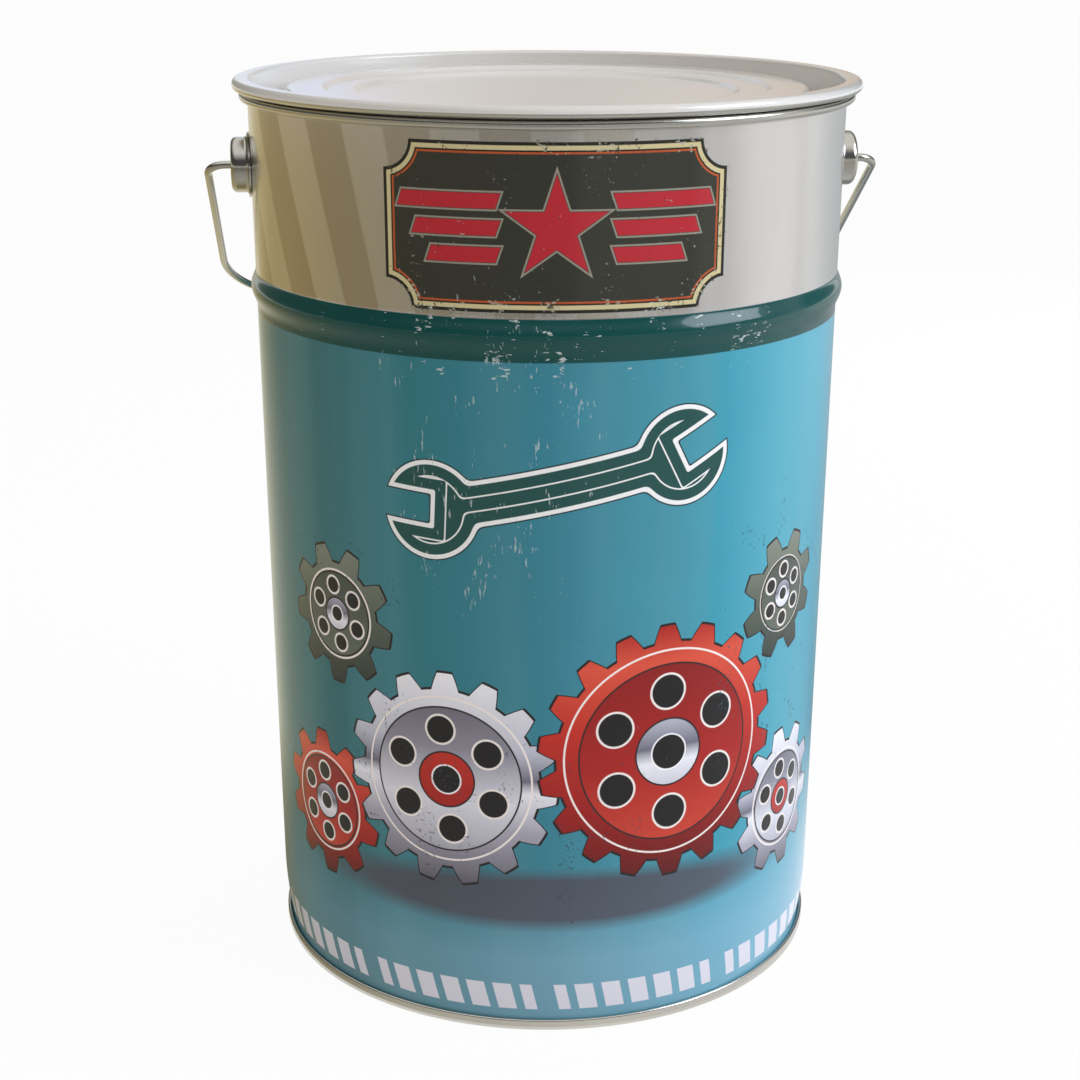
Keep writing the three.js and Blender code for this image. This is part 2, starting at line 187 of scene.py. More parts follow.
SPANNER_MIDDLE, SPANNER_TURN, SPANNER_LENGTH = (1.0, 285.0), math.radians(12), 124
SHANK, HEAD_RADIUS, JAW, JAW_TURN, JAW_INSET = 18, 22, 19, math.radians(15), 0.1
SHANK_BLEND, JAW_BLEND = 4.0, 2.0
SPANNER_INKS = (
    (-2.8, "#20343a"), (-2.1, "#eeeeee"), (0.0, "#1f4f4c"), (5.2, "#eeeeee"), (5.9, "#1f4f4c"))

BAR_STEP, BAR_GAP, BAR_LEAN, BAR_MIDDLE, BAR_HALF = 14.0, 2.2, 0.22, 18.4, 7.4
BAR_GROUP, BAR_GROUP_GAP, BAR_INK = 49.0, 5.6, "#dcdbe6"

# Worn places gather in clouds of this cell, and a mark shows where its noise is over the level
CROWD_CELL, CROWD_FADE, CROWD_PUSH = (14, 30), (0.42, 0.62), 0.17
MARK_EDGE = (0.755, 0.775)

WELD_STRIP = (4.2, 4.0)
BARE_TIN = "#c9c7c0"
THIN_INK_METAL = 0.9


def inked(tree, below, distance, *inks):
    """Inks laid over what is below, each where the distance inside a form is more than its inset:
    pairs of the inset and the ink."""
    for inset, ink in inks:
        mask = add(tree, "MapRange", distance, inset - SOFT, inset + SOFT)
        below = add(tree, "MixRGB", mask, below, ink)
    return below


def patch(tree, place, middle, half):
    """1 in the middle of an ellipse of these half sizes, falling to 0 at its edge."""
    away = add(tree, "Mapping", place, (*middle, 0), (0, 0, 0), (*half, 1), vector_type="TEXTURE")
    return add(tree, "MapRange", add(tree, "VectorMath", away, operation="LENGTH"), 1.0, 0.6)


def gear(tree, below, place, centre, teeth, turn, face, web, hub):
    """A flat-lit gear: the tooth edge is a trapezium wave of the angle between the root and tip radii,
    and the holes are circles on a ring, folded into one sector by the remainder of the angle."""
    root, tip = TOOTH * (teeth / 2 - TOOTH_DEPTH), TOOTH * (teeth / 2 + TOOTH_DEPTH)
    local = add(tree, "Mapping", place, (*centre, 0), (0, 0, math.radians(turn)), vector_type="TEXTURE")
    radius = add(tree, "VectorMath", local, operation="LENGTH")
    x, y = add(tree, "SeparateXYZ", local).node.outputs[:2]
    around = add(tree, "ARCTAN2", y, x)
    wave = add(tree, "PINGPONG", add(tree, "MULTIPLY", around, teeth / TURN), 0.5)
    inside = add(tree, "SUBTRACT", add(tree, "MapRange", wave, *FLANK, root, tip), radius)
    upright = add(tree, "Mapping", place, (*centre, 0), vector_type="TEXTURE")
    height = add(tree, "SeparateXYZ", upright).node.outputs["Y"]
    height = add(tree, "MapRange", height, -tip, tip)
    lit = add(tree, "ValToRGB", height, stops=face)
    dim = add(tree, "ValToRGB", add(tree, "SUBTRACT", 1.0, height), stops=web)
    line, sunk, boss = (
        add(tree, "SUBTRACT", size, radius) for size in (root - TOOTH_LINE, root * WEB, root * HUB))
    # One hole: the place in its sector, seen from its middle
    sector = add(tree, "WRAP", add(tree, "MULTIPLY", around, HOLES / TURN), 1.0, 0.0)
    sector = add(tree, "MULTIPLY", add(tree, "SUBTRACT", sector, 0.5), TURN / HOLES)
    along = add(tree, "MULTIPLY", radius, add(tree, "COSINE", sector))
    across = add(tree, "MULTIPLY", radius, add(tree, "SINE", sector))
    along = add(tree, "SUBTRACT", along, root * HOLE_RING)
    spot = add(tree, "VectorMath", add(tree, "CombineXYZ", along, across), operation="LENGTH")
    hole = add(tree, "SUBTRACT", root * HOLE, spot)
    below = inked(tree, below, inside, (-1.3, DARK_LINE), (0, lit))
    below = inked(tree, below, line, (0, PALE_LINE), (LINE_WIDTH, lit))
    below = inked(tree, below, sunk, (-0.9, WEB_LINE), (0, dim))
    below = inked(tree, below, hole, (-1.1, HOLE_LINE), (0, HOLE_INK))
    below = inked(tree, below, boss, (-0.9, DARK_LINE), (0, add(tree, "ValToRGB", height, stops=hub)))
    return inked(tree, below, boss, (root * BORE, BORE_LINE), (root * BORE + 0.8, HOLE_INK))


def spanner_form(tree, place):
    """Distance inside a double open-ended spanner: the larger of a bar's and two discs' distances,
    less a turned slot cut into each disc. Both ends are folded into one by |x|."""
    middle, turn = (*SPANNER_MIDDLE, 0), (0, 0, SPANNER_TURN)
    local = add(tree, "Mapping", place, middle, turn, vector_type="TEXTURE")
    x, y = add(tree, "SeparateXYZ", local).node.outputs[:2]
    out = add(tree, "SUBTRACT", add(tree, "ABSOLUTE", x), SPANNER_LENGTH / 2)
    end = add(tree, "CombineXYZ", out, y)
    disc = add(tree, "SUBTRACT", HEAD_RADIUS, add(tree, "VectorMath", end, operation="LENGTH"))
    bar = add(tree, "SUBTRACT", SHANK / 2, add(tree, "ABSOLUTE", y))
    bar = add(tree, "MINIMUM", bar, add(tree, "MULTIPLY", out, -1.0))
    body = add(tree, "SMOOTH_MAX", disc, bar, SHANK_BLEND)
    middle, turn = (-HEAD_RADIUS * JAW_INSET, 0, 0), (0, 0, JAW_TURN)
    jaw = add(tree, "Mapping", end, middle, turn, vector_type="TEXTURE")
    x, y = add(tree, "SeparateXYZ", jaw).node.outputs[:2]
    slot = add(tree, "SUBTRACT", JAW / 2, add(tree, "ABSOLUTE", y))
    slot = add(tree, "SMOOTH_MIN", slot, x, JAW_BLEND)
    return add(tree, "MINIMUM", body, add(tree, "MULTIPLY", slot, -1.0))


def plaque_form(tree, folded):
    """Distance inside a box whose corners are cut by quarter discs, from a place folded to x, y > 0."""
    corner = add(tree, "VectorMath", folded, (*PLAQUE_HALF, 0), operation="SUBTRACT")
    box = add(tree, "MAXIMUM", *add(tree, "SeparateXYZ", corner).node.outputs[:2])
    notch = add(tree, "VectorMath", corner, operation="LENGTH")
    notch = add(tree, "SUBTRACT", notch, PLAQUE_NOTCH)
    return add(tree, "MINIMUM", add(tree, "MULTIPLY", box, -1.0), notch)


def star_form(tree, local):
    """Distance inside a star: straight edges folded about five axes."""
    around = add(tree, "ARCTAN2", *add(tree, "SeparateXYZ", local).node.outputs[:2])
    around = add(tree, "MULTIPLY", around, 5 / TURN)
    around = add(tree, "MULTIPLY", add(tree, "PINGPONG", around, 0.5), TURN / 5)
    lean = add(tree, "COSINE", add(tree, "SUBTRACT", around, STAR_SIDE))
    reach = add(tree, "MULTIPLY", add(tree, "VectorMath", local, operation="LENGTH"), lean)
    return add(tree, "SUBTRACT", STAR_TIP * math.cos(STAR_SIDE), reach)


def stripes_form(tree, local, folded):
    """Distance inside three leaning stripes on each side of the star, shorter from row to row."""
    y = add(tree, "SeparateXYZ", local).node.outputs["Y"]
    row = add(tree, "ROUND", add(tree, "DIVIDE", y, STRIPE_STEP))
    row = add(tree, "Clamp", row, -1.0, 1.0)
    off_row = add(tree, "MULTIPLY_ADD", row, -STRIPE_STEP, y)
    aside = add(tree, "SeparateXYZ", folded).node.outputs["X"]
    aside = add(tree, "MULTIPLY_ADD", off_row, STRIPE_LEAN, aside)
    end = add(tree, "MULTIPLY_ADD", row, STRIPE_GROWTH, STRIPE_END)
    along = add(tree, "SUBTRACT", aside, STRIPE_START)
    along = add(tree, "MINIMUM", along, add(tree, "SUBTRACT", end, aside))
    across = add(tree, "SUBTRACT", STRIPE_HALF, add(tree, "ABSOLUTE", off_row))
    return add(tree, "MINIMUM", along, across)


def bars_form(tree, across, height):
    """Distance inside a row of leaning bars round the foot, in groups with wider gaps between them."""
    leaning = add(tree, "MULTIPLY_ADD", height, BAR_LEAN, across)
    bar = add(tree, "PINGPONG", add(tree, "DIVIDE", leaning, BAR_STEP), 0.5)
    bar = add(tree, "SUBTRACT", add(tree, "MULTIPLY", bar, BAR_STEP), BAR_GAP)
    row = add(tree, "ABSOLUTE", add(tree, "SUBTRACT", height, BAR_MIDDLE))
    row = add(tree, "SUBTRACT", BAR_HALF, row)
    group = add(tree, "SUBTRACT", add(tree, "PINGPONG", leaning, BAR_GROUP), BAR_GROUP_GAP)
    return add(tree, "MINIMUM", bar, add(tree, "MINIMUM", row, group))


def field_ink(tree, place, across, height):
    """Teal: deepest to the left of the picture and a lighter blue away from there, with painted shade
    that greys it round the left side, faint upright streaks of painted reflection, and a pale painted
    reflection of the floor towards the foot."""
    away = add(tree, "ABSOLUTE", add(tree, "SUBTRACT", across, FIELD_DEEPEST))
    away = add(tree, "MULTIPLY_ADD", add(tree, "TexNoise", place, 0.012), FIELD_DRIFT, away)
    field = add(tree, "ValToRGB", add(tree, "MapRange", away, *FIELD_FADE), stops=FIELD_INKS)
    # Painted shade: the field is greyed and darkened round the left side, where less light falls
    painted_shade = add(tree, "MapRange", across, *PAINTED_SHADE_FADE)
    field = add(tree, "MixRGB", painted_shade, field, PAINTED_SHADE_INK, blend_type="MULTIPLY")
    # Painted reflection: faint upright pale streaks that stand for soft reflections of upright things
    # round the pail
    width, length = REFLECTION_STREAK_CELL
    streaks = add(tree, "Mapping", place, REFLECTION_STREAK_SHIFT, (0, 0, 0), (1 / width, 1 / length, 1))
    streaks = add(tree, "TexNoise", streaks, 1.0)
    streaks = add(tree, "MapRange", streaks, 0.44, 0.66, 0.0, REFLECTION_STREAK_SHARE)
    field = add(tree, "MixRGB", streaks, field, REFLECTION_STREAK_INK)
    # Painted reflection: a pale veil towards the foot, weaker on the left, that stands for the white
    # floor reflected low on the wall
    floor_glare = add(tree, "MapRange", height, *FLOOR_GLARE_FADE, 0.0, FLOOR_GLARE_SHARE)
    floor_glare = add(tree, "MULTIPLY", floor_glare, add(tree, "MapRange", across, -150.0, 20.0, 0.6, 1.0))
    return add(tree, "MixRGB", floor_glare, field, FLOOR_GLARE_INK)


def ray_ink(tree, place, across, height):
    """Thin beige ink in two near shades, in rays that spread from the foot of the artwork. The rays
    fade to the right and round the sides, and a pale painted reflection lies over the ink to the
    right of the plaque."""
    ray = add(tree, "MULTIPLY", add(tree, "ARCTAN2", across, height), RAYS_PER_RADIAN)
    ray = add(tree, "MapRange", add(tree, "PINGPONG", ray, 0.5), 0.25 - RAY_EDGE, 0.25 + RAY_EDGE)
    ray = add(tree, "MULTIPLY", ray, add(tree, "MapRange", across, -120.0, 90.0, 1.0, 0.2))
    aside = add(tree, "MapRange", add(tree, "ABSOLUTE", across), 180.0, 320.0, 1.0, 0.35)
    ray = add(tree, "MULTIPLY", ray, aside)
    rays = add(tree, "MixRGB", ray, *RAY_INKS)
    # Painted reflection: the thin ink over the tin is lightened to the right of the plaque, where the
    # metal mirrors the bright side of the room
    painted_reflection = add(tree, "MULTIPLY", patch(tree, place, (150, 405), (130, 200)), RAY_REFLECTION_SHARE)
    return add(tree, "MixRGB", painted_reflection, rays, RAY_REFLECTION_INK)


def wear(tree, place, size, seed, push):
    """Mask of ragged marks: noise with cells of the given width and length, raised by the push that
    gathers the marks in places, and cut off high."""
    width, length = size
    marks = add(tree, "Mapping", place, (seed, 2 * seed, 0), (0, 0, 0), (1 / width, 1 / length, 1))
    marks = add(tree, "TexNoise", marks, 1.0, 3.0, 0.6)
    width, length = CROWD_CELL
    crowd = add(tree, "Mapping", place, (seed, 0, 0), (0, 0, 0), (1 / width, 1 / length, 1))
    crowd = add(tree, "TexNoise", crowd, 1.0)
    crowd = add(tree, "MapRange", crowd, *CROWD_FADE, 0.0, CROWD_PUSH)
    return add(tree, "MapRange", add(tree, "MULTIPLY_ADD", crowd, push, marks), *MARK_EDGE)


def worn(tree, painted, place, plaque):
    """Printed wear: pale strokes in a drift down the left of the middle, level scratches over the
    band, pale chips and dark nicks of the plaque, most of them along its edge, and dark specks at both
    sides of the picture and low on the field."""
    rim = add(tree, "ABSOLUTE", add(tree, "SUBTRACT", plaque, 2.5))
    rim = add(tree, "MapRange", rim, 2.0, 5.0, 1.0, 0.5)
    rim = add(tree, "MULTIPLY", rim, add(tree, "MapRange", plaque, -3.0, -1.0, 0.0, 1.25))
    left, right = patch(tree, place, (-125, 200), (75, 120)), patch(tree, place, (130, 190), (70, 120))
    sides = add(tree, "MAXIMUM", left, right)
    for size, seed, push, share, ink in (
        ((1.2, 7.0), 3.0, patch(tree, place, (-32, 300), (75, 110)), 0.55, "#c3cdcf"),
        ((5.0, 1.6), 11.0, patch(tree, place, (0, 354), (175, 26)), 0.75, "#c9d2d0"),
        ((2.4, 1.8), 19.0, rim, 0.75, "#a9a798"),
        ((1.7, 2.6), 43.0, rim, 0.85, "#3b3a32"),
        ((1.4, 3.0), 27.0, sides, 0.75, "#1f5562"),
        ((2.0, 2.0), 35.0, patch(tree, place, (-20, 110), (130, 70)), 0.6, "#3a3f48"),
    ):
        mask = add(tree, "MULTIPLY", wear(tree, place, size, seed, push), share)
        painted = add(tree, "MixRGB", mask, painted, ink)
    return painted


def printed_tinplate():
    """Lithographed tinplate: opaque inks over a white coat, thin beige ink over bright tin in the upper
    band, and a gloss varnish. To the eye: even ink, a clear soft reflection, printed-on wear marks."""
    material, tree = new_material("printed_tinplate")
    u, v = add(tree, "SeparateXYZ", add(tree, "UVMap", uv_map="print")).node.outputs[:2]
    across = add(tree, "MULTIPLY_ADD", u, WALL_TURN, ART_SHIFT - WALL_TURN / 2)
    height = add(tree, "MULTIPLY", v, MAP_HEIGHT)
    place = add(tree, "CombineXYZ", across, height)

    # The field, the rays of the upper band, and the dark green band over the bead
    above = add(tree, "SUBTRACT", height, BAND_TOP)
    over = add(tree, "SUBTRACT", height, BAND_BOTTOM)
    field, rays = (ink(tree, place, across, height) for ink in (field_ink, ray_ink))
    painted = inked(tree, field, above, (0, rays))
    band = add(tree, "MINIMUM", over, add(tree, "MULTIPLY", above, -1.0))
    painted = inked(tree, painted, band, (0, BAND_INK))

    # The plaque with its star and stripes
    local = add(tree, "Mapping", place, (*PLAQUE_MIDDLE, 0), vector_type="TEXTURE")
    folded = add(tree, "VectorMath", local, operation="ABSOLUTE")
    plaque = plaque_form(tree, folded)
    sign = add(tree, "MAXIMUM", star_form(tree, local), stripes_form(tree, local, folded))
    painted = inked(tree, painted, plaque, *PLAQUE_INKS)
    painted = inked(tree, painted, sign, *SIGN_INKS)

    # The ground shadow, the gears, the spanner above them, and the bars round the foot
    shade = add(tree, "MULTIPLY", patch(tree, place, SHADOW_MIDDLE, SHADOW_HALF), SHADOW_SHARE)
    painted = add(tree, "MixRGB", shade, painted, SHADOW_INK)
    for row in GEARS:
        painted = gear(tree, painted, place, *row)
    painted = inked(tree, painted, spanner_form(tree, place), *SPANNER_INKS)
    painted = inked(tree, painted, bars_form(tree, across, height), (0, BAR_INK))
    painted = worn(tree, painted, place, plaque)

    # Bare tin: the rim above the print and a strip down the weld at the back
    seam = add(tree, "ABSOLUTE", add(tree, "SUBTRACT", u, 0.5))
    seam = add(tree, "MapRange", seam, *(0.5 - half / WALL_TURN for half in WELD_STRIP))
    bare = add(tree, "MAXIMUM", seam, add(tree, "MapRange", height, PRINT_TOP, PRINT_TOP + 0.2))
    painted = add(tree, "MixRGB", bare, painted, BARE_TIN)
    thin_ink = add(tree, "MapRange", above, -SOFT, SOFT)
    thin_ink = add(tree, "MULTIPLY", thin_ink, add(tree, "MapRange", plaque, SOFT, -SOFT))
    metal = add(tree, "MAXIMUM", add(tree, "MULTIPLY", thin_ink, THIN_INK_METAL), bare)

    bump = add(tree, "Bump", 0.25, 0.0006, Height=add(tree, "TexNoise", place, 0.02, 2.0, 0.4))
    layers = {
        "Specular IOR Level": 0.25, "Coat Weight": 0.5, "Coat Roughness": 0.05, "Coat IOR": 1.5}
    shader = add(tree, "BsdfPrincipled", painted, metal, 0.24, 1.45, Normal=bump, **layers)
    add(tree, "OutputMaterial", shader)
    return material


def rolled_metal(name, base, roughness, grain, depth):
    """Bright rolled or drawn metal: fine streaks from stretched noise and a slow waviness, in the
    roughness and as a faint bump. The grain and its depth are in millimetres."""
    material, tree = new_material(name)
    place = add(tree, "TexCoord").node.outputs["Object"]
    streaks = add(tree, "Mapping", place, (0, 0, 0), (0, 0, 0), (1, 1, 0.06))
    streaks = add(tree, "TexNoise", streaks, 1 / (grain * MM), 4.0, 0.6)
    cloud = add(tree, "TexNoise", place, 14.0, 3.0)
    mixed = add(tree, "ADD", streaks, cloud)
    shine = add(tree, "MapRange", mixed, 0.7, 1.3, roughness * 0.75, roughness * 1.35)
    bump = add(tree, "Bump", 0.4, depth * MM, Height=mixed)
    tint = add(tree, "MapRange", cloud, 0.3, 0.7, 0.9, 1.0)
    tinted = add(tree, "MixRGB", 1.0, base, tint, blend_type="MULTIPLY")
    shader = add(tree, "BsdfPrincipled", tinted, 1.0, shine, Normal=bump)
    add(tree, "OutputMaterial", shader)
    return material


def inside_lacquer():
    """Clear stoved lacquer on the tinplate inside the pail: a satin grey that scatters much light."""
    material, tree = new_material("clear_lacquered_tinplate")
    cloud = add(tree, "TexNoise", add(tree, "TexCoord").node.outputs["Object"], 22.0, 3.0)
    base = add(tree, "ValToRGB", cloud, stops=((0.3, "#b5b1a5"), (0.7, "#c2beb3")))
    shine = add(tree, "MapRange", cloud, 0.3, 0.7, 0.3, 0.38)
    add(tree, "OutputMaterial", add(tree, "BsdfPrincipled", base, 0.45, shine, 1.5))
    return material


def stoving_enamel():
    """White stoving enamel on tinplate: warm and glossy, with a sprayed coat's faint orange peel."""
    material, tree = new_material("white_stoving_enamel")
    place = add(tree, "TexCoord").node.outputs["Object"]
    cloud = add(tree, "TexNoise", place, 9.0)
    base = add(tree, "ValToRGB", cloud, stops=((0.3, "#d6d3cf"), (0.7, "#dcdad7")))
    bump = add(tree, "Bump", 0.12, 0.05 * MM, Height=add(tree, "TexNoise", place, 1 / (2.5 * MM)))
    layers = {"Coat Weight": 0.8, "Coat Roughness": 0.06, "Coat IOR": 1.5}
    shader = add(tree, "BsdfPrincipled", base, 0.0, 0.28, 1.5, Normal=bump, **layers)
    add(tree, "OutputMaterial", shader)
    return material


def moulded_polypropylene():
    """Black polypropylene from a textured mould: a soft satin with a fine spark-eroded grain."""
    material, tree = new_material("black_polypropylene")
    place = add(tree, "TexCoord").node.outputs["Object"]
    scuff = add(tree, "TexNoise", place, 60.0, 4.0, 0.6)
    base = add(tree, "ValToRGB", scuff, stops=((0.35, "#17181a"), (0.75, "#232426")))
    grain = add(tree, "TexNoise", place, 1 / (0.5 * MM), 3.0, 0.6)
    bump = add(tree, "Bump", 0.3, 0.04 * MM, Height=grain)
    shine = add(tree, "MapRange", scuff, 0.35, 0.7, 0.42, 0.62)
    shader = add(tree, "BsdfPrincipled", base, 0.0, shine, 1.49, Normal=bump)
    add(tree, "OutputMaterial", shader)
    return material


def flowed_compound():
    """Grey water-based sealing compound, flowed in and dried: matt, with a slightly lumpy skin."""
    material, tree = new_material("grey_sealing_compound")
    lumps = add(tree, "TexNoise", add(tree, "TexCoord").node.outputs["Object"], 1 / (1.6 * MM), 3.0)
    base = add(tree, "ValToRGB", lumps, stops=((0.3, "#7f8389"), (0.7, "#979ba1")))
    bump = add(tree, "Bump", 0.5, 0.15 * MM, Height=lumps)
    shader = add(tree, "BsdfPrincipled", base, 0.0, 0.75, 1.52, Normal=bump)
    add(tree, "OutputMaterial", shader)
    return material


# Profiles: arrays of (radius, height), in millimetres
def arc(centre, radius, start, end, steps):
    """Centre plus radius times (cos a, sin a), for evenly spaced angles a from start to end."""
    a = np.linspace(start, end, steps + 1)
    return np.array(centre) + radius * np.stack([np.cos(a), np.sin(a)], 1)


def rounded(corners, radii, steps=8):
    """A path of straight runs whose inner corners are arcs of these radii that touch both runs."""
    corners = np.array(corners, float)
    path = [corners[:1]]
    for before, corner, after, radius in zip(corners, corners[1:], corners[2:], radii):
        back = (before - corner) / np.linalg.norm(before - corner)
        ahead = (after - corner) / np.linalg.norm(after - corner)
        half = math.acos(back @ ahead) / 2
        middle = (back + ahead) / np.linalg.norm(back + ahead)
        centre = corner + middle * radius / math.sin(half)
        start = corner + back * radius / math.tan(half) - centre
        end = corner + ahead * radius / math.tan(half) - centre
        turn = math.atan2(start[0] * end[1] - start[1] * end[0], start @ end)
        first = math.atan2(start[1], start[0])
        path.append(arc(centre, radius, first, first + turn, steps))
    path.append(corners[-1:])
    return np.vstack(path)


def sheet(path, thickness):
    """The path moved half the thickness to both sides along the mean of the normals of its two runs."""
    runs = np.diff(path, axis=0)
    runs /= np.linalg.norm(runs, axis=1)[:, None]
    normals = np.stack([-runs[:, 1], runs[:, 0]], 1)
    before = np.vstack([normals[:1], normals])
    after = np.vstack([normals, normals[-1:]])
    mean = before + after
    mean /= np.linalg.norm(mean, axis=1)[:, None]
    shift = mean * (thickness / 2 / (mean * before).sum(1))[:, None]
    return np.vstack([path + shift, (path - shift)[::-1]])


# Meshes
SHARP_EDGE = math.radians(38)
ON_AXIS = 1e-6


def full_turn(steps):
    """Evenly spaced angles of one turn, from behind round the front."""
    return np.linspace(-math.pi, math.pi, steps, endpoint=False)


def finished(name, vertices, quads, materials, faces_of, uv, body, nodes):
    """A smooth mesh object that rides on a body and stands for CAD nodes. A corner that repeats the
    next one, as at a pole, is dropped, so such a quad becomes a triangle."""
    kept = quads != np.roll(quads, -1, axis=1)
    counts = kept.sum(1)
    used, corners = np.unique(quads[kept], return_inverse=True)
    vertices = vertices.reshape(-1, 3)[used] * MM
    mesh = bpy.data.meshes.new(name)
    mesh.vertices.add(len(vertices))
    mesh.vertices.foreach_set("co", vertices.ravel())
    mesh.loops.add(int(counts.sum()))
    mesh.loops.foreach_set("vertex_index", corners.ravel())
    mesh.polygons.add(len(quads))
    mesh.polygons.foreach_set("loop_start", np.cumsum(counts) - counts)
    for material in materials:
        mesh.materials.append(material)
    mesh.polygons.foreach_set("material_index", faces_of)
    mesh.update(calc_edges=True)
    if uv is not None:
        mesh.uv_layers.new(name="print").uv.foreach_set("vector", uv[kept].ravel())
    mesh.shade_smooth()
    mesh.set_sharp_from_angle(angle=SHARP_EDGE)
    piece = new_object(name, mesh)
    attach(piece, body)
    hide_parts(*nodes)
    return piece


def turned(name, outline, turns, materials, marks, body, node, reshape=None):
    """A closed outline of (radius, height) turned about Z: x = r sin a, y = -r cos a. Points on the
    axis are poles. The mark of a point of the outline is the number of the material from there on."""
    ahead = np.roll(outline, -1, axis=0)
    area = (outline[:, 0] * ahead[:, 1] - ahead[:, 0] * outline[:, 1]).sum()
    marks = np.broadcast_to(marks, len(outline)).astype(np.int32)
    if area < 0:
        outline, marks = outline[::-1], np.roll(marks[::-1], -1)
    radius, height = outline[:, 0][None, :], outline[:, 1][None, :]
    angle = np.asarray(turns)[:, None]
    vertices = np.broadcast_arrays(radius * np.sin(angle), -radius * np.cos(angle), height)
    vertices = np.stack(vertices, -1)
    if reshape is not None:
        vertices = reshape(vertices, angle)
    index = np.arange(vertices[..., 0].size).reshape(vertices.shape[:2])
    pole = radius[0] < ON_AXIS
    index[:, pole] = index[:1, pole]
    i, j = (part.ravel() for part in np.indices(index.shape))
    next_i, next_j = (i + 1) % len(angle), (j + 1) % len(outline)
    drawn = ~(pole[j] & pole[next_j])
    quads = np.stack([index[i, j], index[next_i, j], index[next_i, next_j], index[i, next_j]], 1)
    share = np.append(angle, angle[0] + TURN) / TURN + 0.5
    u = np.stack([share[i], share[i + 1], share[i + 1], share[i]], 1)
    v = np.stack([height[0, j], height[0, j], height[0, next_j], height[0, next_j]], 1) / MAP_HEIGHT
    uv = np.stack([u, v], -1)[drawn]
    return finished(name, vertices, quads[drawn], materials, marks[j[drawn]], uv, body, [node])


def swept(name, route, across, radii, sides, material, body, node):
    """A round bar along a flat route: centre + r (cos a N + sin a B), where B is the route's plane's
    normal and N is B x T. Its first and last points have no radius and are poles."""
    tangent = np.gradient(route, axis=0)
    tangent /= np.linalg.norm(tangent, axis=1)[:, None]
    normal = np.cross(across, tangent)
    a = np.linspace(0, TURN, sides, endpoint=False)
    ring = np.cos(a)[None, :, None] * normal[:, None, :] + np.sin(a)[None, :, None] * across
    vertices = route[:, None, :] + radii[:, None, None] * ring
    index = np.arange(len(route) * sides).reshape(len(route), sides)
    index[[0, -1]] = index[[0, -1], :1]
    i, j = (part.ravel() for part in np.indices((len(route) - 1, sides)))
    next_j = (j + 1) % sides
    quads = np.stack([index[i, j], index[i, next_j], index[i + 1, next_j], index[i + 1, j]], 1)
    first = np.zeros(len(quads), np.int32)
    return finished(name, vertices, quads, [material], first, None, body, [node])


# Sizes of the pieces, in millimetres, as in the solids
GAP = 0.3
SHEET = 0.45
WALL_FOOT, WALL_TOP, WALL_HEIGHT = 145.6, 150.0, 448.6
TAPER = (WALL_TOP - WALL_FOOT) / WALL_HEIGHT
BEAD_HEIGHT, BEAD_WIDTH, BEAD_PROUD = WALL_HEIGHT - 92.4, 19.0, 2.6
NECK, NECK_TOP, NECK_BOTTOM = 2.3, 38.0, 8.0
CURL = 2.4
CURL_END = math.radians(-120)
SEAM_HEIGHT, SEAM_CORNER = 5.6, 0.6
BASE_RECESS, BASE_RING, BASE_STEP, BASE_DROP = 6.2, 20.0, 5.5, 2.8
COMPOUND = 0.6

LID_SHEET = 0.5
LID_OVERHANG, LID_ROLL, LID_SHOULDER = 3.25, 2.9, 1.5
LID_ROLL_END = math.radians(-189)
LID_PLUG, LID_TROUGH, LID_TROUGH_ROUND = 8.4, 17.0, 3.0
LID_RISER, LID_SINK, LID_EDGE_ROUND = 1.4, 5.0, 1.6
LID_OUTER_STEP, LID_OUTER_DEPTH, LID_INNER_STEP, LID_INNER_DEPTH = 113.0, 1.6, 97.0, 1.8
LID_STEP_WIDTH, LID_STEP_ROUND = 3.0, 2.5

WIRE = 2.0
HANG = math.radians(54.1)
LEAN, SLOPE = math.radians(1), math.radians(28.2)
SIDE_ROOM, END_BEND, SHOULDER_BEND, CROWN_BEND = 11.9, 9.0, 50.0, 50.0
HEAD, HEAD_LENGTH = 4.2, 2.4

GRIP, GRIP_END, GRIP_LENGTH, GRIP_ROUND, GRIP_PLAY, GRIP_ROOM = 7.0, 6.2, 96.0, 1.5, 0.4, 4.0

PIVOT = WALL_HEIGHT - 32.5
EAR_SHEET, EAR_DEPTH, EAR_CUP, EAR_FLANGE, EAR_CORNER, EAR_ROOT = 1.0, 9.3, 13.8, 16.2, 2.5, 2.0

CURL_TOP = WALL_HEIGHT + 2 * CURL
FOOT = WALL_FOOT + TAPER * NECK_BOTTOM - NECK
CHUCK = FOOT - SHEET - GAP - SHEET / 2
COVER_HOOK = FOOT + GAP + SHEET / 2
PAIL_HOOK = COVER_HOOK + SHEET + GAP
SEAMING = PAIL_HOOK + SHEET + GAP
HOOK_BOTTOM = SHEET + GAP + SHEET / 2
FOLD = (SEAMING - COVER_HOOK) / 2
COMPOUND_TOP = SEAM_HEIGHT - SHEET / 2 - FOLD
LID_EDGE = WALL_TOP - SHEET / 2 + 2 * CURL - SHEET / 2 + LID_OVERHANG
LID_ROLL_PLACE = (LID_EDGE - LID_ROLL, CURL_TOP + GAP + LID_ROLL)
LID_TOP = LID_ROLL_PLACE[1] + LID_ROLL - LID_SHEET / 2
LID_PLUG_RADIUS = WALL_TOP - SHEET - GAP - LID_SHEET / 2

# Columns of the round pieces, and closer ones at the wall's side weld. The lap of the weld stands
# proud over its half width, eases out beside it, and ends below the mouth
ROUND = full_turn(288)
SEAM_COLUMNS = np.array([-4.6, -4.1, -1.1, -0.7, 0.7, 1.1, 4.1, 4.6]) / WALL_TOP
WELD, WELD_HALF, WELD_EASE, WELD_END = 0.28, 0.7, 0.4, WALL_HEIGHT - 6
PRINT_EASE = 0.2

